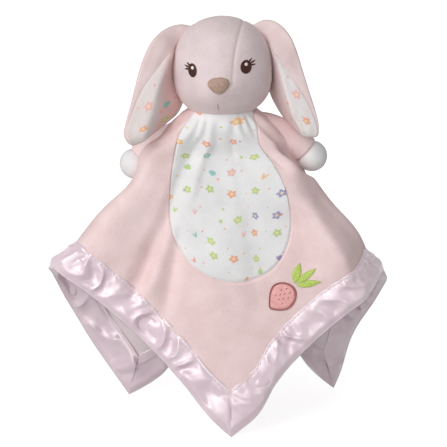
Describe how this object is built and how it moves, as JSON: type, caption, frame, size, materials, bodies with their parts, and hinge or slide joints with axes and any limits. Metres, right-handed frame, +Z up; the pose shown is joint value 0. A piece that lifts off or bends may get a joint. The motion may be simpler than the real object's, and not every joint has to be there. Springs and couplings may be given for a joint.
{
  "type": "plush bunny comforter",
  "caption": "Stuffed plush bunny head with lop ears and short arms, sewn to the middle of a draped square plush blanket with satin lining and binding.",
  "frame": {"origin": "on the surface that the toy stands on, under the middle of its box", "axes": "+Z up, -Y the way the face looks, +X to the viewer's right"},
  "size_m": [0.271, 0.184, 0.3205],
  "materials": {
    "pink_plush": "matte",
    "head_plush": "matte",
    "white_plush": "matte",
    "satin": "satin",
    "filling": "matte",
    "brown_thread": "satin",
    "white_thread": "satin",
    "tan_thread": "satin",
    "pink_thread": "satin",
    "red_thread": "satin",
    "green_thread": "satin"
  },
  "bodies": {
    "blanket": {"blanket_plush": "pink_plush", "belly_patch": "white_plush", "blanket_lining": "satin", "trim_front_left": "satin", "trim_back_left": "satin", "trim_back_right": "satin", "trim_front_right": "satin", "berry_outline": "red_thread", "berry_fill": "pink_thread", "berry_leaf_1": "green_thread", "berry_leaf_2": "green_thread", "berry_leaf_3": "green_thread", "neck_pad": "filling"},
    "neck": {"neck_core": "filling"},
    "head": {"head_gusset": "head_plush", "head_side_left": "head_plush", "head_side_right": "head_plush", "head_filling": "filling", "eye_left": "brown_thread", "eye_right": "brown_thread", "eye_shine_left": "white_thread", "eye_shine_right": "white_thread", "eyelash_left_1": "brown_thread", "eyelash_left_2": "brown_thread", "eyelash_left_3": "brown_thread", "eyelash_right_1": "brown_thread", "eyelash_right_2": "brown_thread", "eyelash_right_3": "brown_thread", "nose": "tan_thread", "mouth_stitch": "tan_thread"},
    "ear_left": {"ear_left_back": "pink_plush", "ear_left_lining": "white_plush"},
    "ear_right": {"ear_right_back": "pink_plush", "ear_right_lining": "white_plush"},
    "arm_left": {"sleeve_left": "pink_plush", "paw_left": "white_plush", "arm_left_filling": "filling"},
    "arm_right": {"sleeve_right": "pink_plush", "paw_right": "white_plush", "arm_right_filling": "filling"}
  },
  "joints": [
    {"name": "head_turn", "type": "hinge", "parent": "blanket", "child": "neck", "pos_m": [0.004, -0.0287, 0.244], "axis": [0, 0, 1], "range_deg": [-15, 15], "stiffness_Nm_per_rad": 0.1},
    {"name": "head_nod", "type": "hinge", "parent": "neck", "child": "head", "pos_m": [0.004, -0.0287, 0.244], "axis": [1, 0, 0], "range_deg": [-10, 12], "stiffness_Nm_per_rad": 0.3},
    {"name": "ear_left_swing", "type": "hinge", "parent": "head", "child": "ear_left", "pos_m": [-0.0255, -0.0297, 0.3125], "axis": [0, 1, 0], "range_deg": [0, 70]},
    {"name": "ear_right_swing", "type": "hinge", "parent": "head", "child": "ear_right", "pos_m": [0.033, -0.0297, 0.314], "axis": [0, -1, 0], "range_deg": [0, 70]},
    {"name": "arm_left_swing", "type": "hinge", "parent": "blanket", "child": "arm_left", "pos_m": [-0.016, -0.0287, 0.243], "axis": [0, 0, -1], "range_deg": [0, 35], "stiffness_Nm_per_rad": 0.02},
    {"name": "arm_right_swing", "type": "hinge", "parent": "blanket", "child": "arm_right", "pos_m": [0.024, -0.0287, 0.243], "axis": [0, 0, 1], "range_deg": [0, 35], "stiffness_Nm_per_rad": 0.02}
  ]
}
